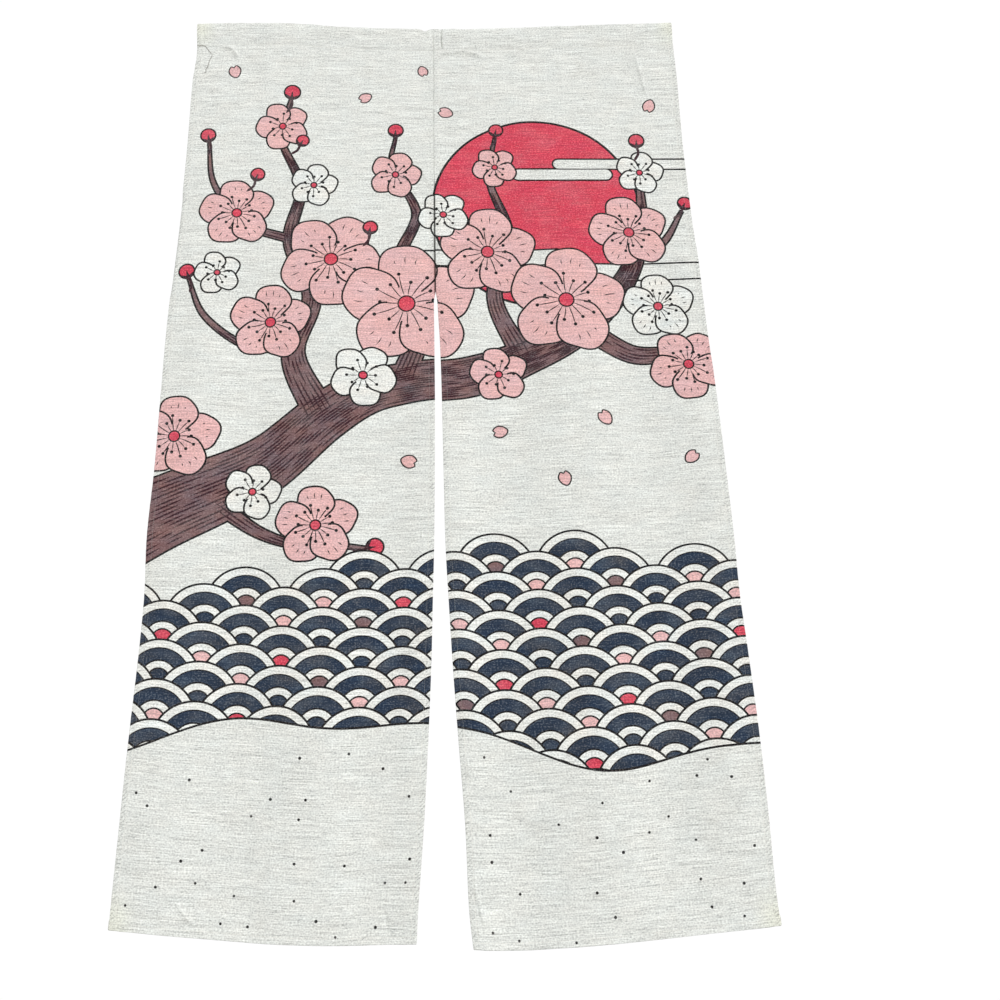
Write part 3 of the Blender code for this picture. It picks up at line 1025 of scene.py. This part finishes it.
def makeSheet(name, columns, rows, creaseColumns, creaseRows, spots, hang):
    flat, faces = cutFlat(columns, rows, creaseColumns, creaseRows, spots)
    ink = inkAt(flat[faces].mean(1))
    mesh = bpy.data.meshes.new(name + "Front")
    mesh.from_pydata((hang(flat[:, 0], flat[:, 1]) * mm).tolist(), [], faces.tolist())
    corners = faces.reshape(-1)
    mesh.uv_layers.new(name="cloth").data.foreach_set("uv", (flat[corners] * mm).reshape(-1))
    inkLayer = mesh.color_attributes.new("ink", "FLOAT_COLOR", "CORNER")
    inkLayer.data.foreach_set("color", inkColours[np.repeat(ink, 3)].reshape(-1))
    mesh.materials.append(printedFace)
    mesh.materials.append(reverseFace)
    mesh.shade_smooth()
    shell = addObject(name + "Front", mesh)
    solid = shell.modifiers.new("thickness", "SOLIDIFY")
    solid.thickness, solid.offset = cloth["thickness"] * mm, -1.0
    solid.material_offset, solid.material_offset_rim = 1, 0
    made = meshFrom(shell, name)
    addBakeMap(made, len(flat), columns, rows)
    print(name, "has", len(made.polygons), "faces")
    return addObject(name, made)


def addBakeMap(mesh, frontCount, columns, rows):  # the face on the map's left half, the back on the right
    count = len(mesh.loops)
    flat, vertex = np.zeros(count * 2), np.zeros(count, int)
    mesh.uv_layers["cloth"].data.foreach_get("uv", flat)
    mesh.loops.foreach_get("vertex_index", vertex)
    sizes, material = np.zeros(len(mesh.polygons), int), np.zeros(len(mesh.polygons), int)
    mesh.polygons.foreach_get("loop_total", sizes)
    mesh.polygons.foreach_get("material_index", material)
    flat = flat.reshape(-1, 2) / mm
    place = (flat - (columns[0], rows[0])) / (columns[-1] - columns[0], rows[-1] - rows[0])
    isBack = np.repeat(material, sizes) == 1
    place = place * (0.47, 0.96) + (0.015, 0.02)      # a little clear of the map's edges
    place[isBack, 0] += 0.5
    rim = ~isBack & (vertex >= frontCount)
    place[rim] += 0.004                               # the cut edge gets a sliver of its own
    mesh.uv_layers.new(name="OFBake").data.foreach_set("uv", place.reshape(-1))


def edgeLines(first, last, step):  # where columns stand between two folded edges, and which are folds
    radius, row = cloth["edgeRadius"], cloth["sideRow"]
    arc = [radius - radius * a for a in np.linspace(0.0, math.pi, 6)]
    turned = [turnedInset(p, radius) for p in (3.2, 6.0, row - 0.9, row, row + 0.9, row + 1.8)]
    near = sorted(turned + arc + [1.7, 3.2, 5.2, 6.8, row - 0.9, row, row + 0.9, row + 2.0, 12.2])
    inner = evenSteps(first + 16.0, last - 16.0, step)
    lines = [first + n for n in near] + list(inner) + [last - n for n in near[::-1]]
    count = len(near)
    return np.array(lines), [*range(1, count), *range(len(lines) - count, len(lines) - 1)]


def footInset(place):  # where on the flat cloth a point of the bottom hem's turned layer lies
    return turnedInset(place, 1.5) - 2.2


def footLines(top, step):
    radius, row = cloth["edgeRadius"], cloth["footRow"]
    arc = [radius - 2.1 * a for a in np.linspace(0.0, math.pi, 7)]
    turned = [footInset(p) for p in (3.5, 6.5, row - 0.9, row, row + 0.9, row + 2.1)]
    near = sorted(turned + arc + [1.9, 3.4, 5.4, 7.2, row - 0.9, row, row + 0.9, row + 2.3, 13.4])
    lines = near + list(evenSteps(17.0, top - 8.0, step)) + [top - n for n in (5.2, 3.4, 2.2, 1.2, 0.0)]
    return np.array(lines), [*range(1, len(near)), *range(len(lines) - 5, len(lines) - 1)]


clothStep = 7.0  # mm between the lines of a sheet's grid
panelTop = cloth["drop"] - cloth["sleeve"]
panels = {}
for side in ("left", "right"):
    first = panelStart(side)
    columns, foldColumns = edgeLines(first, first + cloth["panelWidth"], clothStep)
    rows, foldRows = footLines(panelTop, clothStep)
    spots = creaseSpots(creases, partial(layPanel, side))
    hang = partial(hangPanel, side)
    panels[side] = makeSheet(side + "Panel", columns, rows, foldColumns, foldRows, spots, hang)
    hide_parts("panel_" + side)
    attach(panels[side], "root")


# The rod sleeve: one strip of the same cloth, up the front, over the top and down the back.

sleeve = {
    "riseAndDepth": [(0, -0.6), (0.05, -0.7), (0.12, -0.95), (0.22, -1.35), (0.34, -1.75), (0.48, -2.1),
                     (0.66, -2.4), (0.8, -2.35), (0.9, -2.0), (0.965, -1.2), (1.0, 0.7), (0.965, 2.9),
                     (0.9, 4.6), (0.8, 5.9), (0.66, 6.6), (0.48, 6.5), (0.3, 5.8), (0.16, 4.4),
                     (0.08, 3.0), (0.02, 2.1), (-0.05, 1.9), (-0.13, 2.05)],
    "notchAcross": -22.0,
    "notchWidth": 6.0,
    "notchDepth": 5.0,
    "seamAt": -2.9,           # where the seam runs through the sleeve's front
    "seamDitch": 1.7,
    "sidePinch": 0.25,        # how deep the stitches press its ends
    "backPinch": 0.35,        # and the foot of its back
    "waves": 0.35,            # how uneven its loose upper part hangs
    "ripples": 0.25,
}
section = flow([(r * cloth["sleeve"], d) for r, d in sleeve["riseAndDepth"]], step=0.5)
sectionRun = np.concatenate([[0.0], np.cumsum(np.hypot(*np.diff(section, axis=0).T))])

sleeveCreases = table(
    "startAcross startDrop endAcross endDrop bow width height",
    (6.8, 2, 9.2, 52, 0, 1.2, -3.2),
    (-38, 6, -14, 22, 0, 4.0, -1.1),
    (-16, 4, -12, 24, 0, 3.5, 1.0),
    (-419, 2, -416, 40, 0, 1.8, -0.9),
    (-300, 20, -230, 24, 0, 7.0, 0.8),
    (-150, 14, -70, 20, 0, 7.0, -0.8),
    (60, 22, 140, 18, 0, 8.0, 0.8),
    (210, 14, 300, 22, 0, 7.0, -0.8),
    (360, 24, 410, 12, 0, 6.0, 0.8),
)


def laySleeve(across, drop):
    low, high = lookUp(longEdges, drop, "leftOuter"), lookUp(longEdges, drop, "rightOuter")
    front = sectionRun[:np.argmax(section[:, 0])]
    rise = section[:len(front), 0]
    return np.stack([cloth["panelWidth"] * (2.0 * (across - low) / (high - low) - 1.0),
                     panelTop + np.interp(cloth["sleeve"] - drop, rise, front)], 1)


def hangSleeve(x, up):
    width = 2.0 * cloth["panelWidth"]
    fromLeft, fromRight = x + width / 2.0, width / 2.0 - x
    place, back = turn(np.minimum(fromLeft, fromRight), cloth["edgeRadius"], 0.0)
    along = up - panelTop
    risen = np.interp(along, sectionRun, section[:, 0]) / cloth["sleeve"]
    depth = np.interp(along, sectionRun, section[:, 1])
    ahead = np.gradient(section, axis=0)
    ahead = ahead / np.linalg.norm(ahead, axis=1)[:, None]
    inUp = np.interp(along, sectionRun, -ahead[:, 1])
    inDepth = np.interp(along, sectionRun, ahead[:, 0])
    drop = cloth["sleeve"] * (1.0 - risen)
    low, high = lookUp(longEdges, drop, "leftOuter"), lookUp(longEdges, drop, "rightOuter")
    across = low + (high - low) * np.where(fromLeft < fromRight, place, width - place) / width
    onFront = ease((6.0 - (depth + 3.0)) / 3.0)
    ditch = sleeve["seamDitch"] * bump(x - sleeve["seamAt"], 0.8) * ease((drop - 6.0) / 14.0)
    inward = back + ditch * onFront - ridges(sleeveCreases, across, drop, 0.15) * onFront
    inward += (1.0 - back / cloth["edgeRadius"]) * sleeve["sidePinch"] * bump(place - cloth["sideRow"], 0.9)
    loose = ease(risen / 0.35)
    waver = np.sin(across / 17.0 + 1.3 * np.sin(across / 43.0))
    inward += loose * sleeve["waves"] * waver * np.sin(risen * 4.0 + across / 60.0)
    ripple = np.sin(across / 6.1 + risen * 5.0 + 2.0 * np.sin(across / 29.0))
    inward += loose * sleeve["ripples"] * ripple
    front = np.where(depth < 1.4, 1.0, 0.0)
    depth = depth + inward * inDepth + front * sleeveGroove(drop)
    rear = np.where(depth > 1.4, 1.0, 0.0)
    depth = depth - rear * sleeve["backPinch"] * bump(drop - cloth["sleeve"] - 1.0, 1.2)
    height = cloth["topMiddle"] + sagRise(across, drop) - drop + inward * inUp
    notch = bump(across - sleeve["notchAcross"], sleeve["notchWidth"]) * ease((risen - 0.70) / 0.3)
    height = height - sleeve["notchDepth"] * notch
    return np.stack([across, depth, height], 1)


columns, foldColumns = edgeLines(-cloth["panelWidth"], cloth["panelWidth"], clothStep)
middle = [sleeve["seamAt"] + n for n in (-7, -4, -2.4, -1.5, -0.9, -0.45, 0, 0.45, 0.9, 1.5, 2.4, 4, 7)]
columns = np.array(sorted([c for c in columns if abs(c) > 11.0] + middle))
foldColumns = [i for i, c in enumerate(columns)
               if 0 < i < len(columns) - 1 and (abs(c) < 11 or abs(c) > 412)]
rows = panelTop + np.concatenate([[0.0, 1.0, 2.2], evenSteps(4.0, 36.0, 4.0), evenSteps(38.0, 50.0, 1.0),
                                  evenSteps(53.0, sectionRun[-1] - 8.0, 3.2),
                                  sectionRun[-1] - np.array([6.4, 5.4, 4.4, 3.4, 1.6, 0.0])])
spots = creaseSpots(sleeveCreases, laySleeve)
rodSleeve = makeSheet("rodSleeve", columns, rows, foldColumns, [], spots, hangSleeve)
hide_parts("heading")
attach(rodSleeve, "root")


# Sewing: stitches from one tree of nodes, along rows that follow the cloth.

sewing = {
    "Pitch": 3.2 * mm,
    "Length": 2.8 * mm,
    "Thickness": 0.72 * mm,
    "Unevenness": 0.16,
    "Seed": 4,
}
threads = {
    "sewn": ((240, 239, 231), (254, 253, 248)),       # from the darkest tone to the lightest
    # the stray end is drawn darker than its thread: partly its own grey-brown, partly painted shade
    # standing for the shadow it casts
    "loose": ((92, 86, 78), (140, 132, 120)),
    "inked": 0.80,            # how much of the print's colour the sewn ones took
    "proud": 0.10,            # mm that a row stands proud of the cloth
    "step": 1.6,              # mm between the points of a row
    "looseRadius": 0.30,
}


def threadMaterial(name, tones, inked):
    material, tree, shader = newMaterial(name, 0.8, 0.1)
    place = addNode(tree, "ShaderNodeTexCoord", {}, {}).outputs["Object"]
    noise = addNode(tree, "ShaderNodeTexNoise", {}, {"Vector": place, "Scale": 900.0, "Detail": 2.0})
    mix = addNode(tree, "ShaderNodeMix", {"data_type": "RGBA"},
                  {0: noise.outputs["Fac"], 6: (*tone(*tones[0]), 1.0), 7: (*tone(*tones[1]), 1.0)})
    if inked:                                                  # the print was laid over the sewing
        ink = addNode(tree, "ShaderNodeAttribute", {"attribute_name": "ink"}, {})
        cover = Wire(tree, ink.outputs["Alpha"]) * inked
        mix = addNode(tree, "ShaderNodeMix", {"data_type": "RGBA"},
                      {0: cover, 6: mix.outputs[2], 7: ink.outputs["Color"]})
    tree.links.new(mix.outputs[2], shader.inputs["Base Color"])
    relief = addNode(tree, "ShaderNodeBump", {}, {"Height": noise.outputs["Fac"], "Distance": 0.1 * mm})
    tree.links.new(relief.outputs["Normal"], shader.inputs["Normal"])
    return material


thread = threadMaterial("sewingThread", threads["sewn"], threads["inked"])
greyThread = threadMaterial("looseThread", threads["loose"], 0.0)


def stitchTree():
    tree = bpy.data.node_groups.new("stitchRows", "GeometryNodeTree")
    tree.interface.new_socket("Geometry", in_out="INPUT", socket_type="NodeSocketGeometry")
    for name in ("Pitch", "Length", "Thickness", "Unevenness"):
        tree.interface.new_socket(name, in_out="INPUT", socket_type="NodeSocketFloat")
    tree.interface.new_socket("Seed", in_out="INPUT", socket_type="NodeSocketInt")
    tree.interface.new_socket("Material", in_out="INPUT", socket_type="NodeSocketMaterial")
    tree.interface.new_socket("Geometry", in_out="OUTPUT", socket_type="NodeSocketGeometry")
    given = tree.nodes.new("NodeGroupInput").outputs
    curve = addNode(tree, "GeometryNodeMeshToCurve", {}, {"Mesh": given["Geometry"]})
    points = addNode(tree, "GeometryNodeCurveToPoints", {"mode": "LENGTH"},
                     {"Curve": curve.outputs["Curve"], "Length": given["Pitch"]})
    ball = addNode(tree, "GeometryNodeMeshUVSphere", {}, {"Segments": 6, "Rings": 5, "Radius": 0.5})
    size = addNode(tree, "ShaderNodeCombineXYZ", {},
                   {"X": given["Length"], "Y": given["Thickness"], "Z": given["Thickness"]})
    shape = addNode(tree, "GeometryNodeTransform", {},
                    {"Geometry": ball.outputs["Mesh"], "Scale": size.outputs["Vector"]})
    soft = addNode(tree, "GeometryNodeSetShadeSmooth", {}, {"Geometry": shape.outputs["Geometry"]})
    aligned = addNode(tree, "FunctionNodeAlignRotationToVector", {"axis": "X"},
                      {"Vector": points.outputs["Tangent"]})
    uneven = Wire(tree, given["Unevenness"])
    grow = addNode(tree, "FunctionNodeRandomValue", {"data_type": "FLOAT"},
                   {2: 1.0 - uneven, 3: 1.0 + uneven, "Seed": given["Seed"]})
    tilt = addNode(tree, "FunctionNodeRandomValue", {"data_type": "FLOAT"},
                   {2: uneven * -0.5, 3: uneven * 0.5, "Seed": Wire(tree, given["Seed"]) + 5.0})
    spin = addNode(tree, "ShaderNodeCombineXYZ", {}, {"Y": tilt.outputs[1]})
    turned = addNode(tree, "FunctionNodeRotateRotation", {"rotation_space": "LOCAL"},
                     {0: aligned.outputs[0], 1: spin.outputs["Vector"]})
    placed = addNode(tree, "GeometryNodeInstanceOnPoints", {}, {
        "Points": points.outputs["Points"], "Instance": soft.outputs["Geometry"],
        "Rotation": turned.outputs[0], "Scale": grow.outputs[1],
    })
    real = addNode(tree, "GeometryNodeRealizeInstances", {}, {"Geometry": placed.outputs["Instances"]})
    coated = addNode(tree, "GeometryNodeSetMaterial", {},
                     {"Geometry": real.outputs["Geometry"], "Material": given["Material"]})
    addNode(tree, "NodeGroupOutput", {}, {0: coated.outputs["Geometry"]})
    return tree


stitches = stitchTree()


def sew(name, rows, extras=()):  # rows from along(); extras are finished meshes to join in
    points, edges = [], []
    for places, _ in rows:
        edges += [(len(points) + i, len(points) + i + 1) for i in range(len(places) - 1)]
        points += [tuple(p * mm) for p in places]
    mesh = bpy.data.meshes.new(name + "Rows")
    mesh.from_pydata(points, edges, [])
    found = inkColours[np.concatenate([ink for _, ink in rows])]
    mesh.attributes.new("ink", "FLOAT_COLOR", "POINT").data.foreach_set("color", found.reshape(-1))
    path = addObject(name + "Rows", mesh)
    maker = path.modifiers.new("stitches", "NODES")
    maker.node_group = stitches
    values = {**sewing, "Material": thread}
    for item in stitches.interface.items_tree:
        if item.in_out == "INPUT" and item.name in values:
            maker[item.identifier] = values[item.name]
    piece = addObject(name, meshFrom(path, name))
    if extras:
        with bpy.context.temp_override(active_object=piece, selected_editable_objects=[piece, *extras]):
            bpy.ops.object.join()
    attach(piece, "root")
    print(name, "has", len(piece.data.polygons), "faces")


def along(hang, x, up, lean):  # a row's points on the cloth, a little proud of it, and the ink there
    flat = np.stack(np.broadcast_arrays(np.asarray(x, float), np.asarray(up, float)), 1)
    ink = inkAt(flat) if lean < 0 else np.zeros(len(flat), int)
    return hang(*flat.T) + (0.0, lean, 0.0), ink


proud, step = threads["proud"], threads["step"]
for side in ("left", "right"):
    first = panelStart(side)
    last = first + cloth["panelWidth"]
    sideRow, footRow = cloth["sideRow"], cloth["footRow"]
    turnedRow = turnedInset(sideRow, cloth["edgeRadius"])
    ups = evenSteps(footRow, panelTop - 3.0, step)
    slitUps = ups[ups < cloth["drop"] - cloth["slitTop"] + 4.0]   # the lapped seam shows one row, not two
    acrosses = evenSteps(first + 3.0, last - 3.0, step)
    hang = partial(hangPanel, side)
    sew(side + "Stitches", [
        along(hang, first + sideRow, ups, -proud),
        along(hang, last - sideRow, slitUps if side == "left" else ups, -proud),
        along(hang, acrosses, footRow, -proud),
        along(hang, first + turnedRow, ups, proud),
        along(hang, last - turnedRow, ups, proud),
        along(hang, acrosses, footInset(footRow), proud),
    ])


def tube(name, points, radius, material):
    data = bpy.data.curves.new(name, "CURVE")
    data.dimensions, data.bevel_depth, data.bevel_resolution, data.use_fill_caps = "3D", radius, 1, True
    spline = data.splines.new("POLY")
    line = flow(points, step=1.2)
    spline.points.add(len(line) - 1)
    for point, place in zip(spline.points, line):
        point.co = (*(place * mm), 1.0)
    mesh = meshFrom(addObject(name, data), name)
    mesh.materials.clear()
    mesh.materials.append(material)
    return addObject(name, mesh)


looseEnd, _ = along(  # a stray end of thread, folded over at the top left corner
    partial(hangPanel, "left"),
    (-424, -411.5, -407.8, -402.8, -397.2, -400.5, -401.8, -404.2, -403, -406.5),
    (1452.6, 1452.4, 1448, 1441, 1431.6, 1422, 1410, 1402.5, 1398, 1396), -0.55,
)
outer = cloth["panelWidth"] - 3.0
rowUp = cloth["drop"] - cloth["sleeveRow"]
backRow = panelTop + sectionRun[-1] - 3.2
sew("sleeveStitches", [
    along(partial(hangPanel, "left"), evenSteps(-outer, -1.5, step), rowUp, -proud),
    along(partial(hangPanel, "right"), evenSteps(1.5, outer, step), rowUp, -proud),
    along(hangSleeve, evenSteps(-outer, outer, step), backRow, proud),
], [tube("looseEnd", looseEnd, threads["looseRadius"] * mm, greyThread)])
